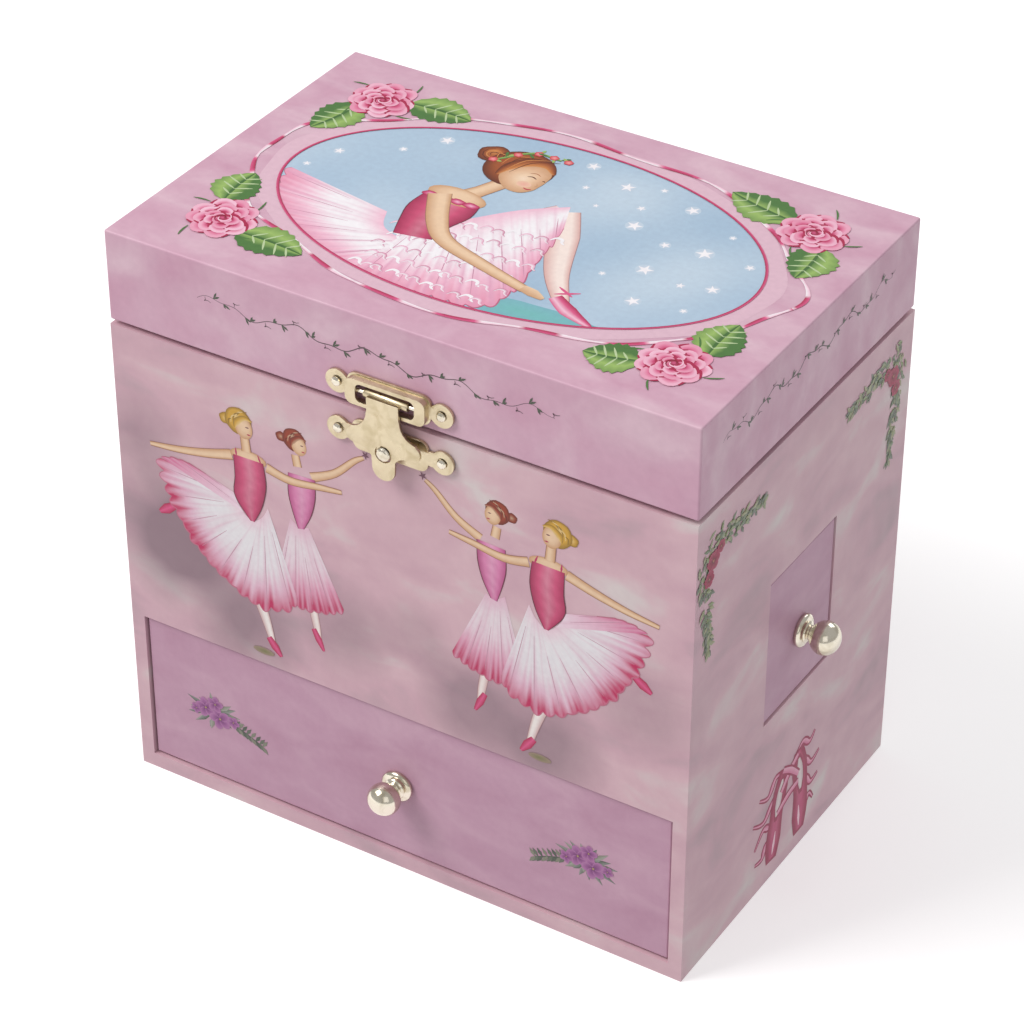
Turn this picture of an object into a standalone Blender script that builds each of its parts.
"""Ballerina jewellery box: a paper-wrapped board box with a hinged lid, a full-width
front drawer, a small side drawer, a nailed clasp, and a wind-up movement behind the side
drawer that turns a dancer standing on a stage in the top tray.

Frame: origin at the centre of the footprint, on the surface it stands on. +Z is up, the
front faces -Y and the side drawer faces +X. Lengths are in metres.
"""
import math

import bmesh
import bpy
from mathutils import Matrix, Vector

MM = 0.001

# Driving dimensions of the carcass and lid
GAP = 0.3 * MM
BOX_WIDTH = 170.0 * MM
BOX_DEPTH = 113.0 * MM
BODY_HEIGHT = 142.0 * MM
LID_SEAM = 1.3 * MM
LID_HEIGHT = 26.0 * MM
LID_BACK_INSET = 0.6 * MM
BOARD = 4.0 * MM
BASE_BOARD = 4.5 * MM
LID_BOARD = 3.5 * MM
TRAY_BOARD = 3.0 * MM

# Levels inside the carcass
FRONT_OPENING_TOP = 51.3 * MM
SHELF_LOW = 52.2 * MM
SHELF_TOP = 56.2 * MM
TRAY_FLOOR_LOW = 103.4 * MM

# Drawers
DRAWER_FRONT_BOARD = 3.5 * MM
FRONT_DRAWER_RECESS = 0.8 * MM
FRONT_DRAWER_REACH = 100.0 * MM
FRONT_TRAY_HEIGHT = 40.0 * MM
FRONT_TRAY_BOARD = 2.5 * MM
SIDE_OPENING_Y = 0.5 * MM
SIDE_OPENING_HALF = 17.65 * MM
SIDE_OPENING_TOP = 100.9 * MM
SIDE_DRAWER_RECESS = 0.3 * MM
SIDE_DRAWER_REACH = 89.0 * MM
SIDE_TRAY_HEIGHT = 31.0 * MM
SIDE_TRAY_BOARD = 2.0 * MM
DRAWER_SLACK = 0.6 * MM
GUIDE_SLACK = 0.9 * MM

# Knobs, turned as one piece with their stud
KNOB_FLANGE_RADIUS = 4.6 * MM
KNOB_NECK_RADIUS = 2.2 * MM
KNOB_HEAD_RADIUS = 4.6 * MM
KNOB_HEAD_HALF_LENGTH = 4.1 * MM
KNOB_HEAD_CENTRE = 7.0 * MM
KNOB_FLANGE_LENGTH = 1.8 * MM
KNOB_NECK_LENGTH = 1.1 * MM
KNOB_STUD_RADIUS = 1.5 * MM
KNOB_STUD_HOLE = 1.9 * MM
FRONT_KNOB_X = -0.9 * MM
FRONT_KNOB_HEIGHT = 27.3 * MM
SIDE_KNOB_HEIGHT = 75.1 * MM
SIDE_KNOB_Y = 1.8 * MM

# Clasp on the front
CLASP_SHEET = 0.8 * MM
EAR_RADIUS = 3.3 * MM
EAR_X = 15.1 * MM
UPPER_PLATE_Z = 149.0 * MM
UPPER_BOSS_HALF = (12.0 * MM, 4.1 * MM)
UPPER_BOSS_DEPTH = 2.8 * MM
UPPER_HOLLOW_HALF = (10.8 * MM, 3.2 * MM)
UPPER_SLOT_HALF = (8.5 * MM, 2.6 * MM)
LOWER_PLATE_Z = 135.4 * MM
LOWER_BODY_HALF = (11.0 * MM, 4.4 * MM)
BAR_RADIUS = 0.6 * MM
BAR_HALF = 10.5 * MM
BAR_OFF_LID = 1.7 * MM
HASP_KNUCKLE_RADIUS = 1.25 * MM
HASP_KNUCKLE_BORE = 0.8 * MM
HASP_KNUCKLE_HALF = 6.3 * MM
HASP_SHEET = 0.7 * MM
STUD_Z = 134.4 * MM
STUD_RADIUS = 2.0 * MM
STUD_HOLE = 2.4 * MM
STUD_DOME = 1.0 * MM
STUD_PROUD = 0.9 * MM
HASP_NECK_HALF = 4.6 * MM
HASP_BRIDGE = 1.0 * MM
NAIL_HEAD_RADIUS = 1.35 * MM
NAIL_SHANK_RADIUS = 0.6 * MM
NAIL_HOLE = 0.9 * MM
NAIL_HEAD_LIFT = 0.3 * MM
NAIL_HEAD_HEIGHT = 0.7 * MM

# Back hinges
HINGE_X = 52.0 * MM
HINGE_HALF = 12.0 * MM
HINGE_SHEET = 0.8 * MM
HINGE_PIN_RADIUS = 0.8 * MM
HINGE_KNUCKLE_RADIUS = 1.5 * MM
HINGE_BORE = 0.95 * MM
HINGE_LEAF_HEIGHT = 12.0 * MM
HINGE_PIN_Y = 58.2 * MM

# Top tray
STAGE_HALF_WIDTH = 27.0 * MM
STAGE_FRONT = 20.0 * MM
STAGE_HEIGHT = 6.2 * MM
DIVIDER_X = -49.3 * MM
DIVIDER_BOARD = 2.0 * MM
DIVIDER_HEIGHT = 20.0 * MM
RING_ROLL_COUNT = 2
RING_ROLL_WIDTH = 14.6 * MM
RING_ROLL_HEIGHT = 17.0 * MM

# Mirror in the lid
MIRROR_HALF = (55.0 * MM, 38.0 * MM)
MIRROR_GLASS = 1.6 * MM
MIRROR_CORNER = 4.0 * MM

# Movement, hung on the back board
SPINDLE_Y = 38.5 * MM
BARREL_Z = 68.5 * MM
BARREL_RADIUS = 11.0 * MM
BARREL_DEPTH = 5.6 * MM
BEDPLATE_HALF = 27.0 * MM
BEDPLATE_LOW = 57.5 * MM
BEDPLATE_TOP = 101.4 * MM
BEDPLATE_THICKNESS = 3.0 * MM
BEARING_ARM_HALF = 3.5 * MM
BEARING_ARM = 1.6 * MM
LOWER_ARM_Z = 80.3 * MM
UPPER_ARM_Z = 99.3 * MM
DRUM_RADIUS = 6.5 * MM
DRUM_LOW = 82.3 * MM
DRUM_TOP = 95.7 * MM
DRUM_WHEEL_RADIUS = 7.5 * MM
DRUM_WHEEL_TOP = 97.9 * MM
ARBOR_RADIUS = 0.75 * MM
ARBOR_BEARING = 0.9 * MM
PINION_RADIUS = 2.2 * MM
PINION_LOW = 75.5 * MM
PINION_TOP = 79.6 * MM
WHEEL_RADIUS = 11.3 * MM
WHEEL_THICKNESS = 2.0 * MM
WHEEL_TEETH = 48
WHEEL_TOOTH_HEIGHT = 0.9 * MM
KEY_SHAFT_RADIUS = 1.6 * MM
KEY_SHAFT_BORE = 1.9 * MM
KEY_WING_Y = 67.0 * MM
KEY_WING_RADIUS = 5.4 * MM
KEY_WING_X = 6.2 * MM
KEY_WING_HOLE = 2.3 * MM
KEY_WING_THICKNESS = 1.6 * MM
KEY_HUB_RADIUS = 3.0 * MM
KEY_HUB_LENGTH = 6.0 * MM
KEY_HUB_Y = 60.5 * MM
GOVERNOR_X = 9.0 * MM
GOVERNOR_Z = 97.0 * MM
GOVERNOR_POST_HALF = 2.4 * MM
GOVERNOR_POST_FRONT = 43.2 * MM
GOVERNOR_POST_LOW = 94.8 * MM
GOVERNOR_POST_TOP = 98.9 * MM
GOVERNOR_BACK = 47.5 * MM
WORM_FRONT = 34.0 * MM
WORM_BACK = 42.6 * MM
WORM_RADIUS = 1.2 * MM
GOVERNOR_SPINDLE_RADIUS = 0.5 * MM
GOVERNOR_BEARING = 0.65 * MM
FAN_THICKNESS = 0.5 * MM
FAN_HALF = (4.0 * MM, 1.4 * MM)
FAN_Y = 29.9 * MM
COMB_TEETH = 16
COMB_PITCH = 0.75 * MM
COMB_GAP = 0.25 * MM
COMB_THICKNESS = 1.2 * MM
COMB_BACK = -19.0 * MM
COMB_TOOTH_ROOT = -13.0 * MM
COMB_BLOCK_LOW = 83.0 * MM
COMB_BLOCK_TOP = 95.6 * MM
COMB_BLOCK_INNER = -13.4 * MM
SCREW_X = 22.0 * MM
SCREW_Z = 90.0 * MM
SCREW_RADIUS = 1.3 * MM
SCREW_HOLE = 1.7 * MM
SCREW_HEAD_RADIUS = 2.6 * MM
SCREW_HEAD_HEIGHT = 1.4 * MM
SCREW_HEAD_CHAMFER = 0.8 * MM
STOP_WIRE_X = 15.2 * MM
STOP_WIRE_Y = 30.0 * MM
STOP_WIRE_RADIUS = 0.7 * MM
STOP_WIRE_LOW = 97.0 * MM
STOP_COLLAR_RADIUS = 1.6 * MM
STOP_COLLAR = 1.4 * MM

# Dancer on her spring
SPRING_LOW = 114.7 * MM
SPRING_TOP = 120.0 * MM
SPRING_RADIUS = 2.2 * MM
SPRING_WIRE = 0.35 * MM
SPRING_TURNS = 4
FOOT_DISC_LOW = 120.7 * MM
FOOT_DISC = 0.9 * MM
FOOT_DISC_RADIUS = 2.7 * MM
SPRING_CUP_RADIUS = 2.8 * MM
HEAD_Z = 153.6 * MM
HEAD_RADIUS = 2.6 * MM
BUN_RADIUS = 1.35 * MM
BUN_BEHIND = 1.5 * MM
BUN_LIFT = 2.5 * MM

# The dancer's shape: body as (radius, height), limbs as (x, y, z), in millimetres
BODY_PROFILE = (
    (0.0, 151.6), (0.95, 151.5), (0.95, 149.9), (2.6, 148.7), (2.35, 146.6),
    (1.75, 143.6), (2.3, 141.2), (2.55, 139.2), (1.9, 138.0), (0.0, 137.6),
)
STANDING_LEG = ((0.0, 0.0, 121.2), (-0.1, 0.0, 123.0), (-0.5, 0.0, 130.0), (-1.1, 0.0, 139.0))
STANDING_LEG_TAPER = (0.55, 0.5, 0.85, 1.0)
DRAWN_UP_LEG = (
    (0.9, -1.6, 129.2), (2.4, -2.4, 130.2), (4.6, -2.9, 132.0), (3.0, -1.2, 135.6), (1.1, 0.0, 139.2),
)
DRAWN_UP_LEG_TAPER = (0.45, 0.6, 0.85, 1.0, 0.95)
LEG_RADIUS = 1.15 * MM
RIGHT_ARM = (
    (2.1, 0.0, 148.3), (4.4, -0.4, 150.6), (5.6, -0.9, 153.9), (4.6, -1.3, 157.6), (1.6, -1.6, 160.2),
)
ARM_TAPER = (1.0, 0.95, 0.85, 0.75, 0.6)
ARM_RADIUS = 0.72 * MM
TUTU_PROFILE = (
    (2.9, 141.2), (6.5, 140.9), (11.3, 139.6), (11.3, 138.9), (6.5, 139.3), (2.9, 139.4),
)

# Worked-out places
HALF_WIDTH = BOX_WIDTH / 2
HALF_DEPTH = BOX_DEPTH / 2
INNER_HALF_WIDTH = HALF_WIDTH - BOARD
INNER_HALF_DEPTH = HALF_DEPTH - BOARD
LID_LOW = BODY_HEIGHT + LID_SEAM
LID_TOP = LID_LOW + LID_HEIGHT
LID_TOP_LOW = LID_TOP - LID_BOARD
LID_FRONT = -HALF_DEPTH
LID_BACK = HALF_DEPTH - LID_BACK_INSET
TRAY_FLOOR_TOP = TRAY_FLOOR_LOW + TRAY_BOARD
TRAY_FURNITURE_LOW = TRAY_FLOOR_TOP + GAP
STAGE_TOP = TRAY_FURNITURE_LOW + STAGE_HEIGHT
HINGE_PIN_Z = BODY_HEIGHT + LID_SEAM / 2
MIRROR_TOP = LID_TOP_LOW - GAP
MIRROR_LOW = MIRROR_TOP - MIRROR_GLASS
BEDPLATE_BACK = INNER_HALF_DEPTH - GAP
BEDPLATE_FRONT = BEDPLATE_BACK - BEDPLATE_THICKNESS
SIDE_GUIDE_HALF = SIDE_OPENING_HALF + 0.25 * MM
BAR_Y = LID_FRONT - BAR_OFF_LID
HASP_BACK_Y = LID_FRONT - GAP - UPPER_BOSS_DEPTH - GAP

FACING_FRONT = (math.pi / 2, 0.0, 0.0)
FACING_RIGHT = (math.pi / 2, 0.0, math.pi / 2)
FLAT = (0.0, 0.0, 0.0)
ALONG_X = (0.0, math.pi / 2, 0.0)
ALONG_Y = (-math.pi / 2, 0.0, 0.0)
FLAT_COLOURS = {
    "wrap_paper": ((0.62, 0.48, 0.53), 0.55, 0.0),
    "lid_paper": ((0.66, 0.38, 0.50), 0.55, 0.0),
    "drawer_paper": ((0.50, 0.29, 0.41), 0.60, 0.0),
    "lining_card": ((0.70, 0.52, 0.60), 0.80, 0.0),
    "raw_board": ((0.52, 0.42, 0.31), 0.85, 0.0),
    "velvet": ((0.60, 0.20, 0.34), 0.95, 0.0),
    "pale_gold": ((0.78, 0.70, 0.52), 0.30, 1.0),
    "nickel": ((0.76, 0.74, 0.68), 0.15, 1.0),
    "mirror_glass": ((0.85, 0.88, 0.90), 0.02, 1.0),
    "brass": ((0.70, 0.52, 0.22), 0.32, 1.0),
    "zinc": ((0.46, 0.46, 0.47), 0.50, 1.0),
    "spring_steel": ((0.55, 0.55, 0.56), 0.28, 1.0),
    "doll_plastic": ((0.80, 0.58, 0.48), 0.40, 0.0),
    "net_fabric": ((0.90, 0.72, 0.80), 0.90, 0.0),
}


def clear_scene():
    """Remove whatever objects the scene holds."""
    for old in list(bpy.data.objects):
        bpy.data.objects.remove(old, do_unlink=True)


def make_collection(name):
    """Link a new collection to the scene."""
    collection = bpy.data.collections.new(name)
    bpy.context.scene.collection.children.link(collection)
    return collection


def make_materials():
    """Make one Principled material for each finish."""
    made = {}
    for name, (colour, roughness, metallic) in FLAT_COLOURS.items():
        material = bpy.data.materials.new(name)
        material.use_nodes = True
        shader = material.node_tree.nodes["Principled BSDF"]
        shader.inputs["Base Color"].default_value = (*colour, 1.0)
        shader.inputs["Roughness"].default_value = roughness
        shader.inputs["Metallic"].default_value = metallic
        made[name] = material
    return made


class Workshop:
    """Holds the collections and materials, and makes named pieces in them."""

    def __init__(self):
        self.parts = make_collection("ballerina_jewellery_box")
        self.tools = make_collection("cutters_and_guides")
        self.materials = make_materials()

    def add(self, name, data, finish, location=(0, 0, 0), rotation=FLAT):
        """Put a mesh or curve in the parts collection as a named piece."""
        piece = bpy.data.objects.new(name, data)
        piece.location = location
        piece.rotation_euler = rotation
        data.materials.append(self.materials[finish])
        self.parts.objects.link(piece)
        return piece

    def add_tool(self, name, mesh, location=(0, 0, 0), rotation=FLAT):
        """Put a mesh in the cutters collection, hidden from the build."""
        tool = bpy.data.objects.new(name, mesh)
        tool.location = location
        tool.rotation_euler = rotation
        tool.hide_render = True
        tool.display_type = 'WIRE'
        self.tools.objects.link(tool)
        return tool

    def pivot(self, name, location):
        """An empty on a joint's axis, which a moving sub-assembly hangs from."""
        empty = bpy.data.objects.new(name, None)
        empty.location = location
        empty.empty_display_size = 0.01
        self.parts.objects.link(empty)
        return empty


def hang(pivot, *pieces):
    """Parent pieces to a pivot and leave them where they stand."""
    for piece in pieces:
        piece.parent = pivot
        piece.matrix_parent_inverse = Matrix.Translation(pivot.location).inverted()


def box_mesh(name, size):
    """A box of the given size around its own origin."""
    mesh = bpy.data.meshes.new(name)
    shape = bmesh.new()
    bmesh.ops.create_cube(shape, size=1.0)
    bmesh.ops.scale(shape, vec=size, verts=shape.verts)
    shape.to_mesh(mesh)
    shape.free()
    return mesh


def cylinder_mesh(name, radius, length, sides=24):
    """A closed cylinder along Z around its own origin."""
    mesh = bpy.data.meshes.new(name)
    shape = bmesh.new()
    bmesh.ops.create_cone(
        shape, cap_ends=True, segments=sides, radius1=radius, radius2=radius, depth=length
    )
    shape.to_mesh(mesh)
    shape.free()
    mesh.shade_smooth()
    mesh.set_sharp_from_angle(angle=math.radians(40))
    return mesh


def ball_mesh(name, radius, stretch=(1.0, 1.0, 1.0), sides=14, rings=9):
    """A ball, stretched along its axes."""
    mesh = bpy.data.meshes.new(name)
    shape = bmesh.new()
    bmesh.ops.create_uvsphere(shape, u_segments=sides, v_segments=rings, radius=radius)
    bmesh.ops.scale(shape, vec=stretch, verts=shape.verts)
    shape.to_mesh(mesh)
    shape.free()
    mesh.shade_smooth()
    return mesh


def board(shop, name, finish, low, high):
    """A plain board between two opposite corners."""
    low = Vector(low)
    high = Vector(high)
    return shop.add(name, box_mesh(name, high - low), finish, (low + high) / 2)


def arc_points(centre, radius, start, end, steps):
    """Points along an arc in degrees, both ends included."""
    points = []
    for step in range(steps + 1):
        angle = math.radians(start + (end - start) * step / steps)
        points.append((centre[0] + radius * math.cos(angle), centre[1] + radius * math.sin(angle)))
    return points


def circle_loop(centre, radius, steps=24):
    """A closed circle's points, without the repeated last one."""
    return arc_points(centre, radius, 0, 360, steps)[:-1]


def rectangle_loop(half_x, half_y, corner=0.0, centre=(0.0, 0.0), steps=5):
    """A rectangle around a centre, with round corners if corner is over zero."""
    if corner <= 0:
        signs = ((1, -1), (1, 1), (-1, 1), (-1, -1))
        return [(centre[0] + half_x * sx, centre[1] + half_y * sy) for sx, sy in signs]
    points = []
    for quarter, (sx, sy) in enumerate(((1, 1), (-1, 1), (-1, -1), (1, -1))):
        middle = (centre[0] + sx * (half_x - corner), centre[1] + sy * (half_y - corner))
        points.extend(arc_points(middle, corner, 90 * quarter, 90 * quarter + 90, steps))
    return points


def outline_curve(name, loops, thickness):
    """A flat 2D curve of closed straight-sided loops; inner loops are holes."""
    curve = bpy.data.curves.new(name, 'CURVE')
    curve.dimensions = '2D'
    curve.fill_mode = 'BOTH'
    curve.extrude = thickness / 2
    for loop in loops:
        spline = curve.splines.new('POLY')
        spline.points.add(len(loop) - 1)
        for point, (x, y) in zip(spline.points, loop):
            point.co = (x, y, 0.0, 1.0)
        spline.use_cyclic_u = True
    return curve


def mesh_from_curve(name, curve):
    """A curve's evaluated shape as a mesh with its caps welded on."""
    guide = bpy.data.objects.new(name + "_guide", curve)
    bpy.context.scene.collection.objects.link(guide)
    bpy.context.view_layer.update()
    evaluated = guide.evaluated_get(bpy.context.evaluated_depsgraph_get())
    mesh = bpy.data.meshes.new_from_object(evaluated)
    mesh.name = name
    shape = bmesh.new()
    shape.from_mesh(mesh)
    bmesh.ops.remove_doubles(shape, verts=shape.verts, dist=0.01 * MM)
    bmesh.ops.recalc_face_normals(shape, faces=shape.faces)
    shape.to_mesh(mesh)
    shape.free()
    mesh.materials.clear()
    bpy.data.objects.remove(guide, do_unlink=True)
    return mesh


def plate(shop, name, finish, loops, thickness, location, rotation):
    """A flat plate from outline loops, as a welded mesh centred on its mid plane."""
    mesh = mesh_from_curve(name, outline_curve(name, loops, thickness))
    return shop.add(name, mesh, finish, location, rotation)


def wire_curve(name, points, radius, radii=None):
    """A round wire along straight stretches between points."""
    curve = bpy.data.curves.new(name, 'CURVE')
    curve.dimensions = '3D'
    curve.bevel_depth = radius
    curve.bevel_resolution = 2
    curve.use_fill_caps = True
    spline = curve.splines.new('POLY')
    spline.points.add(len(points) - 1)
    for index, (point, place) in enumerate(zip(spline.points, points)):
        point.co = (*place, 1.0)
        point.radius = radii[index] if radii else 1.0
    return curve


def millimetres(rows):
    """Rows of numbers in millimetres, as metres."""
    return [tuple(number * MM for number in row) for row in rows]


def turned(shop, name, finish, profile, location, rotation=FLAT, steps=32, closed=False):
    """Spin a profile of (radius, height) points, listed down the outer side."""
    mesh = bpy.data.meshes.new(name)
    vertices = [(radius, 0.0, height) for radius, height in profile]
    edges = [(index, index + 1) for index in range(len(profile) - 1)]
    if closed:
        edges.append((len(profile) - 1, 0))
    mesh.from_pydata(vertices, edges, [])
    piece = shop.add(name, mesh, finish, location, rotation)
    screw = piece.modifiers.new("turn", 'SCREW')
    screw.angle = math.tau
    screw.steps = steps
    screw.render_steps = steps
    screw.use_merge_vertices = True
    screw.merge_threshold = 0.001 * MM
    screw.use_smooth_shade = True
    return piece


def cut(piece, tool):
    """Take a tool's shape out of a piece."""
    boolean = piece.modifiers.new("cut_" + tool.name, 'BOOLEAN')
    boolean.operation = 'DIFFERENCE'
    boolean.object = tool


def join(piece, tool):
    """Add a tool's shape to a piece."""
    boolean = piece.modifiers.new("join_" + tool.name, 'BOOLEAN')
    boolean.operation = 'UNION'
    boolean.object = tool


def make_carcass(shop):
    """The wrapped outer boards and the boards that divide the inside."""
    inner = INNER_HALF_WIDTH - GAP
    inner_depth = INNER_HALF_DEPTH - GAP
    low = BASE_BOARD + GAP
    corner = (-HALF_WIDTH, -HALF_DEPTH, 0)
    board(shop, "bottom_board", "wrap_paper", corner, (HALF_WIDTH, HALF_DEPTH, BASE_BOARD))
    corner = (-HALF_WIDTH, -HALF_DEPTH, low)
    board(shop, "left_board", "wrap_paper", corner, (-INNER_HALF_WIDTH, HALF_DEPTH, BODY_HEIGHT))
    make_right_board(shop, low)
    corner = (-inner, -HALF_DEPTH, FRONT_OPENING_TOP)
    board(shop, "front_board", "wrap_paper", corner, (inner, -INNER_HALF_DEPTH, BODY_HEIGHT))
    make_back_board(shop, inner, low)
    corner = (-inner, -inner_depth, SHELF_LOW)
    board(shop, "drawer_shelf", "raw_board", corner, (inner, inner_depth, SHELF_TOP))
    make_guide_walls(shop, inner)


def make_guide_walls(shop, inner):
    """The two walls that the side drawer slides between."""
    low = SHELF_TOP + GAP
    high = TRAY_FLOOR_LOW - GAP
    near = SIDE_OPENING_Y - SIDE_GUIDE_HALF
    board(shop, "front_guide_wall", "raw_board", (-inner, near - TRAY_BOARD, low), (inner, near, high))
    far = SIDE_OPENING_Y + SIDE_GUIDE_HALF
    board(shop, "back_guide_wall", "raw_board", (-inner, far, low), (inner, far + TRAY_BOARD, high))


def make_right_board(shop, low):
    """The right side, with the side drawer's opening."""
    middle = (low + BODY_HEIGHT) / 2
    opening_middle = (SHELF_TOP + SIDE_OPENING_TOP) / 2
    opening_half = (SIDE_OPENING_TOP - SHELF_TOP) / 2
    loops = [
        rectangle_loop(HALF_DEPTH, (BODY_HEIGHT - low) / 2),
        rectangle_loop(
            SIDE_OPENING_HALF, opening_half, centre=(SIDE_OPENING_Y, opening_middle - middle)
        ),
    ]
    place = (HALF_WIDTH - BOARD / 2, 0, middle)
    plate(shop, "right_board", "wrap_paper", loops, BOARD, place, FACING_RIGHT)


def make_back_board(shop, inner, low):
    """The back, drilled for the key's shaft and the movement's screws."""
    middle = (low + BODY_HEIGHT) / 2
    loops = [
        rectangle_loop(inner, (BODY_HEIGHT - low) / 2),
        circle_loop((0, BARREL_Z - middle), KEY_SHAFT_BORE + GAP),
        circle_loop((-SCREW_X, SCREW_Z - middle), SCREW_HOLE, 16),
        circle_loop((SCREW_X, SCREW_Z - middle), SCREW_HOLE, 16),
    ]
    place = (0, HALF_DEPTH - BOARD / 2, middle)
    plate(shop, "back_board", "wrap_paper", loops, BOARD, place, FACING_FRONT)


def make_tray(shop):
    """The top tray's floor, stage, divider and ring rolls."""
    inner = INNER_HALF_WIDTH - GAP
    inner_depth = INNER_HALF_DEPTH - GAP
    wire_hole = STOP_WIRE_RADIUS + GAP
    loops = [
        rectangle_loop(inner, inner_depth),
        circle_loop((0, SPINDLE_Y), ARBOR_RADIUS + 2 * GAP, 16),
        circle_loop((STOP_WIRE_X, STOP_WIRE_Y), wire_hole, 16),
    ]
    floor_middle = (0, 0, TRAY_FLOOR_LOW + TRAY_BOARD / 2)
    plate(shop, "tray_floor", "lining_card", loops, TRAY_BOARD, floor_middle, FLAT)

    stage_depth = inner_depth - STAGE_FRONT
    stage_y = STAGE_FRONT + stage_depth / 2
    loops = [
        rectangle_loop(STAGE_HALF_WIDTH, stage_depth / 2),
        circle_loop((0, SPINDLE_Y - stage_y), ARBOR_RADIUS + 2 * GAP, 16),
        circle_loop((STOP_WIRE_X, STOP_WIRE_Y - stage_y), wire_hole, 16),
    ]
    place = (0, stage_y, TRAY_FURNITURE_LOW + STAGE_HEIGHT / 2)
    plate(shop, "stage", "lining_card", loops, STAGE_HEIGHT, place, FLAT)

    low = (DIVIDER_X - DIVIDER_BOARD / 2, -inner_depth, TRAY_FURNITURE_LOW)
    high = (DIVIDER_X + DIVIDER_BOARD / 2, inner_depth, TRAY_FURNITURE_LOW + DIVIDER_HEIGHT)
    board(shop, "ring_bay_divider", "lining_card", low, high)

    bay_left = -inner
    bay_width = low[0] - bay_left
    spacing = bay_width / RING_ROLL_COUNT
    for index in range(RING_ROLL_COUNT):
        place = (bay_left + spacing * (index + 0.5), 0, TRAY_FURNITURE_LOW)
        make_ring_roll(shop, "ring_roll_%d" % (index + 1), place, 2 * inner_depth - 2 * GAP)


def make_ring_roll(shop, name, place, length):
    """A long roll with a flat bottom and a half-round top."""
    radius = RING_ROLL_WIDTH / 2
    loop = [(-radius, 0.0), (radius, 0.0)]
    loop.extend(arc_points((0, RING_ROLL_HEIGHT - radius), radius, 0, 180, 12))
    plate(shop, name, "velvet", [loop], length, place, FACING_FRONT)


def make_lid(shop):
    """Lid boards and mirror, returned as the pieces that ride on the lid."""
    low = LID_LOW
    high = LID_TOP_LOW - GAP
    side_front = LID_FRONT + BOARD + GAP
    side_back = LID_BACK - BOARD - GAP
    boards = (
        ("lid_top", (-HALF_WIDTH, LID_FRONT, LID_TOP_LOW), (HALF_WIDTH, LID_BACK, LID_TOP)),
        ("lid_front_rim", (-HALF_WIDTH, LID_FRONT, low), (HALF_WIDTH, LID_FRONT + BOARD, high)),
        ("lid_back_rim", (-HALF_WIDTH, LID_BACK - BOARD, low), (HALF_WIDTH, LID_BACK, high)),
        ("lid_left_rim", (-HALF_WIDTH, side_front, low), (-INNER_HALF_WIDTH, side_back, high)),
        ("lid_right_rim", (INNER_HALF_WIDTH, side_front, low), (HALF_WIDTH, side_back, high)),
    )
    pieces = [board(shop, name, "lid_paper", near, far) for name, near, far in boards]
    loop = rectangle_loop(*MIRROR_HALF, corner=MIRROR_CORNER)
    place = (0, 0, (MIRROR_LOW + MIRROR_TOP) / 2)
    pieces.append(plate(shop, "lid_mirror", "mirror_glass", [loop], MIRROR_GLASS, place, FLAT))
    return pieces


def hinge_leaf(shop, name, centre_x, leaf_y, upward, knuckles):
    """A leaf with its knuckles; knuckles lists (middle, half length) along X."""
    side = 1 if upward else -1
    clear = HINGE_KNUCKLE_RADIUS + GAP
    middle_z = HINGE_PIN_Z + side * (clear + HINGE_LEAF_HEIGHT / 2)
    size = (2 * HINGE_HALF, HINGE_SHEET, HINGE_LEAF_HEIGHT)
    leaf = shop.add(name, box_mesh(name, size), "pale_gold", (centre_x, leaf_y, middle_z))
    overlap = 0.2 * MM
    for number, (middle, half) in enumerate(knuckles):
        tab_height = clear + overlap
        tab_size = (2 * half, HINGE_SHEET, tab_height)
        tab_place = (centre_x + middle, leaf_y, HINGE_PIN_Z + side * tab_height / 2)
        tab = box_mesh(name + "_tab", tab_size)
        join(leaf, shop.add_tool("%s_tab_%d" % (name, number), tab, tab_place))
        knuckle = cylinder_mesh(name + "_knuckle", HINGE_KNUCKLE_RADIUS, 2 * half, 20)
        knuckle_place = (centre_x + middle, HINGE_PIN_Y, HINGE_PIN_Z)
        join(leaf, shop.add_tool("%s_knuckle_%d" % (name, number), knuckle, knuckle_place, ALONG_X))
    bore = cylinder_mesh(name + "_bore", HINGE_BORE, 2.4 * HINGE_HALF, 20)
    cut(leaf, shop.add_tool(name + "_bore", bore, (centre_x, HINGE_PIN_Y, HINGE_PIN_Z), ALONG_X))
    return leaf


def make_hinges(shop):
    """Two butt hinges on the back, returned as the leaves that ride on the lid."""
    lid_leaf_y = LID_BACK + GAP + HINGE_SHEET / 2
    body_leaf_y = HALF_DEPTH + GAP + HINGE_SHEET / 2
    outer_half = HINGE_HALF / 3 - GAP / 2
    outer_middle = HINGE_HALF - outer_half
    inner_half = HINGE_HALF - 2 * outer_half - GAP
    riders = []
    for side, x in (("left", -HINGE_X), ("right", HINGE_X)):
        outer = [(-outer_middle, outer_half), (outer_middle, outer_half)]
        hinge_leaf(shop, "hinge_leaf_body_" + side, x, body_leaf_y, False, outer)
        inner = [(0.0, inner_half)]
        riders.append(hinge_leaf(shop, "hinge_leaf_lid_" + side, x, lid_leaf_y, True, inner))
        pin = cylinder_mesh("hinge_pin_" + side, HINGE_PIN_RADIUS, 2 * HINGE_HALF, 20)
        shop.add("hinge_pin_" + side, pin, "nickel", (x, HINGE_PIN_Y, HINGE_PIN_Z), ALONG_X)
    return riders


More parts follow.
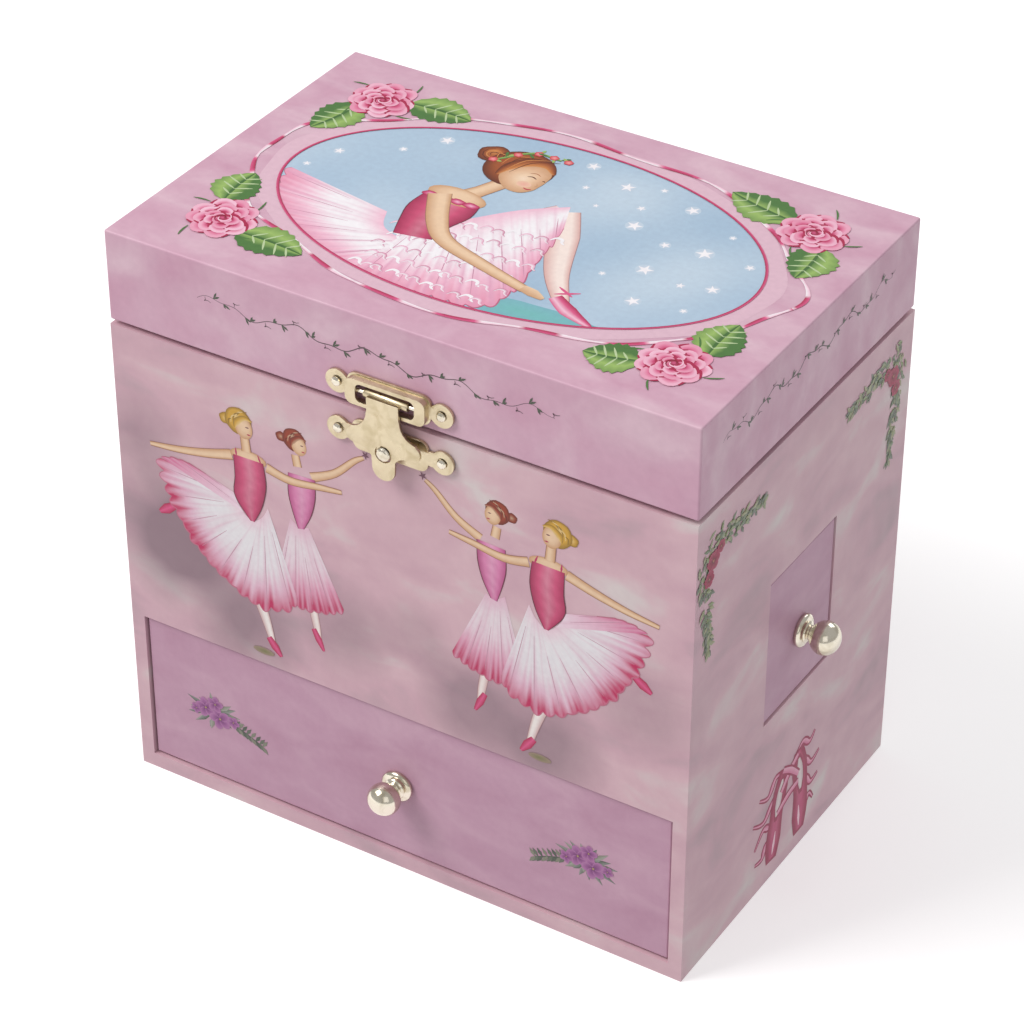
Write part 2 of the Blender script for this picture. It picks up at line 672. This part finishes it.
def eared_loop(body_half, corner=2.4 * MM):
    """A clasp plate's outline: a body with round corners and a round ear at each end."""
    half_x, half_y = body_half
    loop = arc_points((EAR_X, 0), EAR_RADIUS, -140, 140, 20)
    loop.extend(arc_points((half_x - corner, half_y - corner), corner, 0, 90, 5))
    loop.extend(arc_points((corner - half_x, half_y - corner), corner, 90, 180, 5))
    loop.extend(arc_points((-EAR_X, 0), EAR_RADIUS, 40, 320, 20))
    loop.extend(arc_points((corner - half_x, corner - half_y), corner, 180, 270, 5))
    loop.extend(arc_points((half_x - corner, corner - half_y), corner, 270, 360, 5))
    return loop


def make_upper_plate(shop):
    """The lid's clasp plate: a pressed boss with a slot, hollow behind for the hinge bar."""
    loops = [eared_loop(UPPER_BOSS_HALF)]
    loops.extend(circle_loop((side * EAR_X, 0), NAIL_HOLE, 16) for side in (-1, 1))
    back = LID_FRONT - GAP
    place = (0, back - CLASP_SHEET / 2, UPPER_PLATE_Z)
    piece = plate(shop, "clasp_upper_plate", "pale_gold", loops, CLASP_SHEET, place, FACING_FRONT)
    inset = 0.5 * MM
    boss_half = (UPPER_BOSS_HALF[0] - inset, UPPER_BOSS_HALF[1] - inset)
    boss_depth = UPPER_BOSS_DEPTH - CLASP_SHEET / 2
    tools = (
        (join, "boss", boss_half, 2.0 * MM, boss_depth, back - UPPER_BOSS_DEPTH + boss_depth / 2),
        (cut, "hollow", UPPER_HOLLOW_HALF, 1.0 * MM, 2 * (UPPER_BOSS_DEPTH - CLASP_SHEET), back),
        (cut, "slot", UPPER_SLOT_HALF, 1.6 * MM, 4 * UPPER_BOSS_DEPTH, back),
    )
    for action, name, half, corner, depth, y in tools:
        loop = rectangle_loop(*half, corner=corner)
        mesh = mesh_from_curve("clasp_" + name, outline_curve("clasp_" + name, [loop], depth))
        action(piece, shop.add_tool("clasp_" + name, mesh, (0, y, UPPER_PLATE_Z), FACING_FRONT))
    return piece


def hasp_outline():
    """The hasp's outline about the hinge bar: neck, shoulders, belly and finger tab."""
    arcs = (
        ("shoulder", (10.0, -4.0), 5.2, 180, 262, 7),
        ("belly", (8.4, -11.6), 2.3, 62, -62, 8),
        ("waist", (6.9, -18.0), 4.0, 92, 150, 5),
        ("finger_tab", (0.0, -18.9), 3.3, 4, -90, 9),
    )
    right = [(HASP_NECK_HALF, HASP_BRIDGE / 2), (HASP_NECK_HALF, -3.4 * MM)]
    for _, (x, z), radius, start, end, steps in arcs:
        right.extend(arc_points((x * MM, z * MM), radius * MM, start, end, steps))
    left = [(-x, z) for x, z in reversed(right[:-1])]
    return right + left


def make_hasp(shop):
    """The swinging leaf: knuckle round the bar, bridge through the slot, and the leaf."""
    leaf_y = HASP_BACK_Y - HASP_SHEET / 2
    hole = circle_loop((0, STUD_Z - UPPER_PLATE_Z), STUD_HOLE, 24)
    place = (0, leaf_y, UPPER_PLATE_Z)
    loops = [hasp_outline(), hole]
    piece = plate(shop, "clasp_hasp", "pale_gold", loops, HASP_SHEET, place, FACING_FRONT)
    inside_neck = 2 * HASP_NECK_HALF - 0.2 * MM
    bridge_back = BAR_Y - HASP_KNUCKLE_BORE / 2
    bridge_size = (inside_neck, bridge_back - leaf_y, HASP_BRIDGE)
    bridge_place = (0, (bridge_back + leaf_y) / 2, UPPER_PLATE_Z - 0.1 * MM)
    join(piece, shop.add_tool("hasp_bridge", box_mesh("hasp_bridge", bridge_size), bridge_place))
    bar_place = (0, BAR_Y, UPPER_PLATE_Z)
    knuckle = cylinder_mesh("hasp_knuckle", HASP_KNUCKLE_RADIUS, 2 * HASP_KNUCKLE_HALF, 20)
    join(piece, shop.add_tool("hasp_knuckle", knuckle, bar_place, ALONG_X))
    bore = cylinder_mesh("hasp_bore", HASP_KNUCKLE_BORE, 4 * HASP_KNUCKLE_HALF, 20)
    cut(piece, shop.add_tool("hasp_bore", bore, bar_place, ALONG_X))
    return piece


def make_lower_plate(shop):
    """The body's clasp plate and the domed stud that the hasp drops over."""
    loops = [eared_loop(LOWER_BODY_HALF)]
    loops.extend(circle_loop((side * EAR_X, 0), NAIL_HOLE, 16) for side in (-1, 1))
    back = -HALF_DEPTH - GAP
    place = (0, back - CLASP_SHEET / 2, LOWER_PLATE_Z)
    plate(shop, "clasp_lower_plate", "pale_gold", loops, CLASP_SHEET, place, FACING_FRONT)
    stand = back - CLASP_SHEET - GAP
    length = stand - (HASP_BACK_Y - HASP_SHEET - STUD_PROUD)
    profile = [(0.0, length)]
    for x, z in reversed(arc_points((0.0, 0.0), 1.0, 10, 80, 5)):
        profile.append((STUD_RADIUS * x, length - STUD_DOME + STUD_DOME * z))
    profile.extend([(STUD_RADIUS, 0.0), (0.0, 0.0)])
    turned(shop, "clasp_stud", "nickel", profile, (0, stand, STUD_Z), FACING_FRONT, 24)


def make_nail(shop, name, x, plate_front, z):
    """A domed nail whose shank ends where the plate does."""
    lift = NAIL_HEAD_LIFT
    profile = [(0.0, lift + NAIL_HEAD_HEIGHT)]
    for rx, rz in reversed(arc_points((0.0, 0.0), 1.0, 10, 75, 4)):
        profile.append((NAIL_HEAD_RADIUS * rx, lift + NAIL_HEAD_HEIGHT * rz))
    profile.extend([(NAIL_HEAD_RADIUS, lift), (NAIL_SHANK_RADIUS, lift)])
    profile.extend([(NAIL_SHANK_RADIUS, -CLASP_SHEET), (0.0, -CLASP_SHEET)])
    return turned(shop, name, "nickel", profile, (x, plate_front, z), FACING_FRONT, 16)


def make_clasp(shop):
    """The whole clasp, returned as the pieces on the lid and the hasp."""
    upper = make_upper_plate(shop)
    hasp = make_hasp(shop)
    make_lower_plate(shop)
    bar = cylinder_mesh("clasp_hinge_bar", BAR_RADIUS, 2 * BAR_HALF, 20)
    bar_piece = shop.add("clasp_hinge_bar", bar, "nickel", (0, BAR_Y, UPPER_PLATE_Z), ALONG_X)
    upper_front = LID_FRONT - GAP - CLASP_SHEET
    lower_front = -HALF_DEPTH - GAP - CLASP_SHEET
    lid_pieces = [upper, bar_piece]
    for side, x in (("left", -EAR_X), ("right", EAR_X)):
        lid_pieces.append(make_nail(shop, "upper_nail_" + side, x, upper_front, UPPER_PLATE_Z))
        make_nail(shop, "lower_nail_" + side, x, lower_front, LOWER_PLATE_Z)
    return lid_pieces, hasp


def knob_profile():
    """A knob along +Z from the drawer's face: ball head, neck, flange and stud."""
    profile = [(0.0, KNOB_HEAD_CENTRE + KNOB_HEAD_HALF_LENGTH)]
    for x, z in reversed(arc_points((0.0, 0.0), 1.0, -58, 78, 12)):
        profile.append((KNOB_HEAD_RADIUS * x, KNOB_HEAD_CENTRE + KNOB_HEAD_HALF_LENGTH * z))
    profile.append((KNOB_NECK_RADIUS, KNOB_FLANGE_LENGTH + KNOB_NECK_LENGTH))
    profile.append((KNOB_NECK_RADIUS + 0.8 * MM, KNOB_FLANGE_LENGTH))
    profile.append((KNOB_FLANGE_RADIUS - 0.6 * MM, KNOB_FLANGE_LENGTH - 0.2 * MM))
    profile.append((KNOB_FLANGE_RADIUS, KNOB_FLANGE_LENGTH - 0.9 * MM))
    profile.append((KNOB_FLANGE_RADIUS, GAP))
    profile.append((KNOB_STUD_RADIUS, GAP))
    profile.append((KNOB_STUD_RADIUS, -DRAWER_FRONT_BOARD - GAP))
    profile.append((0.0, -DRAWER_FRONT_BOARD - GAP))
    return profile


def make_front_drawer(shop):
    """The full-width drawer under the shelf."""
    face = -HALF_DEPTH + FRONT_DRAWER_RECESS
    behind = face + DRAWER_FRONT_BOARD + GAP
    low = BASE_BOARD + DRAWER_SLACK
    high = FRONT_OPENING_TOP - DRAWER_SLACK
    half = INNER_HALF_WIDTH - DRAWER_SLACK
    middle = (low + high) / 2
    loops = [
        rectangle_loop(half, (high - low) / 2),
        circle_loop((FRONT_KNOB_X, FRONT_KNOB_HEIGHT - middle), KNOB_STUD_HOLE, 16),
    ]
    place = (0, face + DRAWER_FRONT_BOARD / 2, middle)
    sheet = DRAWER_FRONT_BOARD
    front = plate(shop, "front_drawer_front", "drawer_paper", loops, sheet, place, FACING_FRONT)
    outer = half - GUIDE_SLACK
    wall = outer - FRONT_TRAY_BOARD
    back = behind + FRONT_DRAWER_REACH
    top = low + FRONT_TRAY_HEIGHT
    inner = wall - GAP
    floor_top = low + FRONT_TRAY_BOARD
    back_front = back - FRONT_TRAY_BOARD
    knob_place = (FRONT_KNOB_X, face, FRONT_KNOB_HEIGHT)
    knob = turned(shop, "front_knob", "nickel", knob_profile(), knob_place, FACING_FRONT)
    boards = (
        ("front_drawer_left_side", (-outer, behind, low), (-wall, back, top)),
        ("front_drawer_right_side", (wall, behind, low), (outer, back, top)),
        ("front_drawer_back", (-inner, back_front, low), (inner, back, top)),
        ("front_drawer_floor", (-inner, behind, low), (inner, back_front - GAP, floor_top)),
    )
    return [front, knob] + [board(shop, name, "lining_card", near, far) for name, near, far in boards]


def make_side_drawer(shop):
    """The small drawer that slides out to the right between the guide walls."""
    face = HALF_WIDTH - SIDE_DRAWER_RECESS
    behind = face - DRAWER_FRONT_BOARD - GAP
    low = SHELF_TOP + DRAWER_SLACK
    high = SIDE_OPENING_TOP - DRAWER_SLACK
    half = SIDE_OPENING_HALF - DRAWER_SLACK / 2
    middle = (low + high) / 2
    loops = [
        rectangle_loop(half, (high - low) / 2),
        circle_loop((SIDE_KNOB_Y - SIDE_OPENING_Y, SIDE_KNOB_HEIGHT - middle), KNOB_STUD_HOLE, 16),
    ]
    sheet = DRAWER_FRONT_BOARD
    place = (face - sheet / 2, SIDE_OPENING_Y, middle)
    front = plate(shop, "side_drawer_front", "drawer_paper", loops, sheet, place, FACING_RIGHT)
    outer = SIDE_GUIDE_HALF - GUIDE_SLACK
    wall = outer - SIDE_TRAY_BOARD
    inner = wall - GAP
    back = behind - SIDE_DRAWER_REACH
    back_face = back + SIDE_TRAY_BOARD
    top = low + SIDE_TRAY_HEIGHT
    floor_top = low + SIDE_TRAY_BOARD
    y = SIDE_OPENING_Y
    knob_place = (face, SIDE_KNOB_Y, SIDE_KNOB_HEIGHT)
    knob = turned(shop, "side_knob", "nickel", knob_profile(), knob_place, ALONG_X)
    boards = (
        ("side_drawer_near_side", (back, y - outer, low), (behind, y - wall, top)),
        ("side_drawer_far_side", (back, y + wall, low), (behind, y + outer, top)),
        ("side_drawer_back", (back, y - inner, low), (back_face, y + inner, top)),
        ("side_drawer_floor", (back_face + GAP, y - inner, low), (behind, y + inner, floor_top)),
    )
    return [front, knob] + [board(shop, name, "lining_card", near, far) for name, near, far in boards]


def make_bedplate(shop):
    """The movement's frame: a plate with two bearing arms, a governor post and a comb block."""
    middle = (BEDPLATE_LOW + BEDPLATE_TOP) / 2
    loops = [
        rectangle_loop(BEDPLATE_HALF, (BEDPLATE_TOP - BEDPLATE_LOW) / 2, corner=3.0 * MM),
        circle_loop((0, BARREL_Z - middle), KEY_SHAFT_BORE, 24),
        circle_loop((-SCREW_X, SCREW_Z - middle), SCREW_HOLE, 16),
        circle_loop((SCREW_X, SCREW_Z - middle), SCREW_HOLE, 16),
    ]
    place = (0, (BEDPLATE_FRONT + BEDPLATE_BACK) / 2, middle)
    piece = plate(shop, "movement_bedplate", "zinc", loops, BEDPLATE_THICKNESS, place, FACING_FRONT)
    for name, low, high in bedplate_blocks():
        low = Vector(low)
        high = Vector(high)
        join(piece, shop.add_tool(name, box_mesh(name, high - low), (low + high) / 2))
    bearing = cylinder_mesh("bearing_bore", ARBOR_BEARING, BEDPLATE_TOP - BARREL_Z, 20)
    bearing_middle = (0, SPINDLE_Y, (UPPER_ARM_Z + LOWER_ARM_Z) / 2)
    cut(piece, shop.add_tool("bearing_bore", bearing, bearing_middle))
    pivot_length = 2 * (BEDPLATE_FRONT - GOVERNOR_POST_FRONT)
    pivot_bore = cylinder_mesh("pivot_bore", GOVERNOR_BEARING, pivot_length, 16)
    pivot_middle = (GOVERNOR_X, GOVERNOR_POST_FRONT, GOVERNOR_Z)
    cut(piece, shop.add_tool("pivot_bore", pivot_bore, pivot_middle, ALONG_Y))
    return piece


def bedplate_blocks():
    """The blocks that stand out from the bedplate, as (name, low corner, high corner)."""
    root = BEDPLATE_FRONT + 0.5 * MM
    arm = BEARING_ARM_HALF
    arm_front = SPINDLE_Y - 2.0 * MM
    post_left = GOVERNOR_X - GOVERNOR_POST_HALF
    post_right = GOVERNOR_X + GOVERNOR_POST_HALF
    comb_behind = SPINDLE_Y + COMB_THICKNESS / 2 + GAP
    return (
        ("lower_arm", (-arm, arm_front, LOWER_ARM_Z), (arm, root, LOWER_ARM_Z + BEARING_ARM)),
        ("upper_arm", (-arm, arm_front, UPPER_ARM_Z), (arm, root, UPPER_ARM_Z + BEARING_ARM)),
        (
            "governor_post",
            (post_left, GOVERNOR_POST_FRONT, GOVERNOR_POST_LOW),
            (post_right, root, GOVERNOR_POST_TOP),
        ),
        (
            "comb_block",
            (COMB_BACK, comb_behind, COMB_BLOCK_LOW),
            (COMB_BLOCK_INNER, root, COMB_BLOCK_TOP),
        ),
    )


def make_spring_barrel(shop):
    """The drum-shaped case that holds the mainspring, open at its centre for the shaft."""
    profile = [
        (BARREL_RADIUS, BARREL_DEPTH), (BARREL_RADIUS, 0.0),
        (KEY_SHAFT_BORE, 0.0), (KEY_SHAFT_BORE, BARREL_DEPTH),
    ]
    place = (0, BEDPLATE_FRONT - GAP, BARREL_Z)
    turned(shop, "spring_barrel", "brass", profile, place, FACING_FRONT, 32, True)


def make_great_wheel(shop):
    """The toothed wheel in front of the barrel that turns the drum's pinion."""
    root = WHEEL_RADIUS - WHEEL_TOOTH_HEIGHT
    tooth_shape = ((root, 0.0), (root, 0.35), (WHEEL_RADIUS, 0.5), (WHEEL_RADIUS, 0.85))
    loop = []
    for tooth in range(WHEEL_TEETH):
        for radius, turn in tooth_shape:
            angle = math.tau * (tooth + turn) / WHEEL_TEETH
            loop.append((radius * math.cos(angle), radius * math.sin(angle)))
    wheel_front = SPINDLE_Y + PINION_RADIUS + GAP
    loops = [loop, circle_loop((0, 0), KEY_SHAFT_BORE, 24)]
    place = (0, wheel_front + WHEEL_THICKNESS / 2, BARREL_Z)
    return plate(shop, "great_wheel", "brass", loops, WHEEL_THICKNESS, place, FACING_FRONT)


def make_winding_key(shop):
    """A butterfly key with its shaft, turned from behind the box."""
    right = arc_points((KEY_WING_X, 0), KEY_WING_RADIUS, -130, 130, 18)
    left = [(-x, y) for x, y in reversed(right)]
    wings = [right + left]
    wings.extend(circle_loop((side * KEY_WING_X, 0), KEY_WING_HOLE, 16) for side in (-1, 1))
    place = (0, KEY_WING_Y, BARREL_Z)
    piece = plate(shop, "winding_key", "nickel", wings, KEY_WING_THICKNESS, place, FLAT)
    shaft_front = SPINDLE_Y + PINION_RADIUS + GAP
    shaft_length = KEY_WING_Y - shaft_front
    shaft = cylinder_mesh("key_shaft", KEY_SHAFT_RADIUS, shaft_length, 20)
    shaft_middle = (0, shaft_front + shaft_length / 2, BARREL_Z)
    join(piece, shop.add_tool("key_shaft", shaft, shaft_middle, ALONG_Y))
    hub = cylinder_mesh("key_hub", KEY_HUB_RADIUS, KEY_HUB_LENGTH, 20)
    join(piece, shop.add_tool("key_hub", hub, (0, KEY_HUB_Y, BARREL_Z), ALONG_Y))
    return piece


def make_drum(shop):
    """The pinned drum with its wheel, and the arbor that carries it and the dancer."""
    bore = ARBOR_RADIUS + GAP
    wheel_low = DRUM_TOP + 0.5 * MM
    profile = [
        (bore, DRUM_WHEEL_TOP), (DRUM_WHEEL_RADIUS, DRUM_WHEEL_TOP), (DRUM_WHEEL_RADIUS, wheel_low),
        (DRUM_RADIUS, wheel_low), (DRUM_RADIUS, DRUM_LOW), (bore, DRUM_LOW),
    ]
    drum = turned(shop, "music_drum", "brass", profile, (0, SPINDLE_Y, 0), FLAT, 36, True)
    cup_low = STAGE_TOP + GAP
    cup_top = SPRING_LOW - SPRING_WIRE - 0.1 * MM
    profile = [
        (0.0, cup_top), (SPRING_CUP_RADIUS, cup_top), (SPRING_CUP_RADIUS, cup_low),
        (ARBOR_RADIUS, cup_low), (ARBOR_RADIUS, PINION_TOP), (PINION_RADIUS, PINION_TOP),
        (PINION_RADIUS, PINION_LOW), (0.0, PINION_LOW),
    ]
    arbor = turned(shop, "drum_arbor", "spring_steel", profile, (0, SPINDLE_Y, 0), FLAT, 20)
    return [drum, arbor]


def make_comb(shop):
    """The steel comb, its teeth level with the drum's side."""
    length = COMB_TEETH * COMB_PITCH
    low = -length / 2
    root = COMB_TOOTH_ROOT
    tip = -DRUM_RADIUS - GAP
    loop = [(COMB_BACK, low + length), (COMB_BACK, low)]
    for tooth in range(COMB_TEETH):
        start = low + tooth * COMB_PITCH
        stop = start + COMB_PITCH - COMB_GAP
        loop.extend([(tip, start), (tip, stop), (root, stop), (root, start + COMB_PITCH)])
    place = (0, SPINDLE_Y, (DRUM_LOW + DRUM_TOP) / 2)
    plate(shop, "comb", "spring_steel", [loop], COMB_THICKNESS, place, FACING_FRONT)


def make_governor(shop):
    """The worm spindle and its air-brake fan, which hold the drum to an even speed."""
    front = FAN_Y - 1.6 * MM
    spindle = GOVERNOR_SPINDLE_RADIUS
    profile = [
        (0.0, GOVERNOR_BACK), (spindle, GOVERNOR_BACK), (spindle, WORM_BACK), (WORM_RADIUS, WORM_BACK),
        (WORM_RADIUS, WORM_FRONT), (spindle, WORM_FRONT), (spindle, front), (0.0, front),
    ]
    place = (GOVERNOR_X, 0, GOVERNOR_Z)
    piece = turned(shop, "governor", "brass", profile, place, ALONG_Y, 16)
    fan = box_mesh("governor_fan", (2 * FAN_HALF[0], 2 * FAN_HALF[1], FAN_THICKNESS))
    join(piece, shop.add_tool("governor_fan", fan, (GOVERNOR_X, FAN_Y, GOVERNOR_Z)))
    return piece


def make_movement_screws(shop):
    """Two screws through the back board into the bedplate."""
    height = SCREW_HEAD_HEIGHT
    reach = BOARD + GAP + BEDPLATE_THICKNESS
    profile = [
        (0.0, height), (SCREW_HEAD_RADIUS - SCREW_HEAD_CHAMFER, height), (SCREW_HEAD_RADIUS, height / 2),
        (SCREW_HEAD_RADIUS, GAP), (SCREW_RADIUS, GAP), (SCREW_RADIUS, -reach), (0.0, -reach),
    ]
    for side, x in (("left", -SCREW_X), ("right", SCREW_X)):
        place = (x, HALF_DEPTH, SCREW_Z)
        turned(shop, "movement_screw_" + side, "nickel", profile, place, ALONG_Y, 20)


def make_stop_wire(shop):
    """The wire that the shut lid holds down against the governor's fan."""
    top = MIRROR_LOW - GAP
    collar_top = STOP_WIRE_LOW + STOP_COLLAR
    wire = STOP_WIRE_RADIUS
    profile = [
        (0.0, top), (wire * 0.7, top - 0.1 * MM), (wire, top - 0.5 * MM), (wire, collar_top),
        (STOP_COLLAR_RADIUS, collar_top), (STOP_COLLAR_RADIUS, STOP_WIRE_LOW), (0.0, STOP_WIRE_LOW),
    ]
    place = (STOP_WIRE_X, STOP_WIRE_Y, 0)
    return turned(shop, "stop_wire", "spring_steel", profile, place, FLAT, 16)


def make_dancer_spring(shop):
    """The coil spring that lets the dancer sway."""
    points = []
    steps = SPRING_TURNS * 12
    for step in range(steps + 1):
        angle = math.tau * SPRING_TURNS * step / steps
        height = SPRING_LOW + (SPRING_TOP - SPRING_LOW) * step / steps
        points.append((SPRING_RADIUS * math.cos(angle), SPRING_RADIUS * math.sin(angle), height))
    mesh = mesh_from_curve("dancer_spring", wire_curve("dancer_spring", points, SPRING_WIRE))
    return shop.add("dancer_spring", mesh, "spring_steel", (0, SPINDLE_Y, 0))


def dancer_limb(shop, name, points, radius, radii):
    """A tapering arm or leg as a tool to be joined to the dancer."""
    mesh = mesh_from_curve(name, wire_curve(name, millimetres(points), radius, radii))
    return shop.add_tool(name, mesh, (0, SPINDLE_Y, 0))


def make_dancer(shop):
    """A plain moulded dancer: one leg down, one drawn up, both arms raised in a ring."""
    profile = millimetres(BODY_PROFILE)
    piece = turned(shop, "dancer", "doll_plastic", profile, (0, SPINDLE_Y, 0), FLAT, 16)
    disc = cylinder_mesh("foot_disc", FOOT_DISC_RADIUS, FOOT_DISC, 20)
    join(piece, shop.add_tool("foot_disc", disc, (0, SPINDLE_Y, FOOT_DISC_LOW + FOOT_DISC / 2)))
    head = ball_mesh("dancer_head", HEAD_RADIUS, (0.9, 0.95, 1.08))
    join(piece, shop.add_tool("dancer_head", head, (0, SPINDLE_Y, HEAD_Z)))
    bun = ball_mesh("dancer_bun", BUN_RADIUS, sides=12, rings=8)
    join(piece, shop.add_tool("dancer_bun", bun, (0, SPINDLE_Y + BUN_BEHIND, HEAD_Z + BUN_LIFT)))
    left_arm = [(-x, y, z) for x, y, z in RIGHT_ARM]
    limbs = (
        ("standing_leg", STANDING_LEG, LEG_RADIUS, STANDING_LEG_TAPER),
        ("drawn_up_leg", DRAWN_UP_LEG, LEG_RADIUS, DRAWN_UP_LEG_TAPER),
        ("left_arm", left_arm, ARM_RADIUS, ARM_TAPER),
        ("right_arm", RIGHT_ARM, ARM_RADIUS, ARM_TAPER),
    )
    for name, points, radius, taper in limbs:
        join(piece, dancer_limb(shop, name, points, radius, taper))
    return piece


def make_tutu(shop):
    """The net skirt as one plain ring round the dancer's hips."""
    profile = millimetres(TUTU_PROFILE)
    return turned(shop, "dancer_tutu", "net_fabric", profile, (0, SPINDLE_Y, 0), FLAT, 28, True)


def main():
    """Build every piece and hang the moving ones from their joints' axes."""
    clear_scene()
    shop = Workshop()
    make_carcass(shop)
    make_tray(shop)
    make_movement_screws(shop)
    make_bedplate(shop)
    make_spring_barrel(shop)
    make_comb(shop)

    lid = make_lid(shop)
    lid.extend(make_hinges(shop))
    clasp_on_lid, hasp = make_clasp(shop)
    lid.extend(clasp_on_lid)
    hang(shop.pivot("lid_pivot", (0, HINGE_PIN_Y, HINGE_PIN_Z)), *lid)
    hang(shop.pivot("hasp_pivot", (0, BAR_Y, UPPER_PLATE_Z)), hasp)

    front_place = (0, -HALF_DEPTH, FRONT_KNOB_HEIGHT)
    hang(shop.pivot("front_drawer_slide", front_place), *make_front_drawer(shop))
    side_place = (HALF_WIDTH, SIDE_OPENING_Y, SIDE_KNOB_HEIGHT)
    hang(shop.pivot("side_drawer_slide", side_place), *make_side_drawer(shop))

    spinning = make_drum(shop)
    spinning.extend([make_dancer_spring(shop), make_dancer(shop), make_tutu(shop)])
    hang(shop.pivot("drum_pivot", (0, SPINDLE_Y, 0)), *spinning)
    hang(shop.pivot("wheel_pivot", (0, SPINDLE_Y, BARREL_Z)), make_great_wheel(shop))
    hang(shop.pivot("key_pivot", (0, KEY_WING_Y, BARREL_Z)), make_winding_key(shop))
    hang(shop.pivot("governor_pivot", (GOVERNOR_X, FAN_Y, GOVERNOR_Z)), make_governor(shop))
    hang(shop.pivot("stop_wire_slide", (STOP_WIRE_X, STOP_WIRE_Y, STOP_WIRE_LOW)), make_stop_wire(shop))


main()
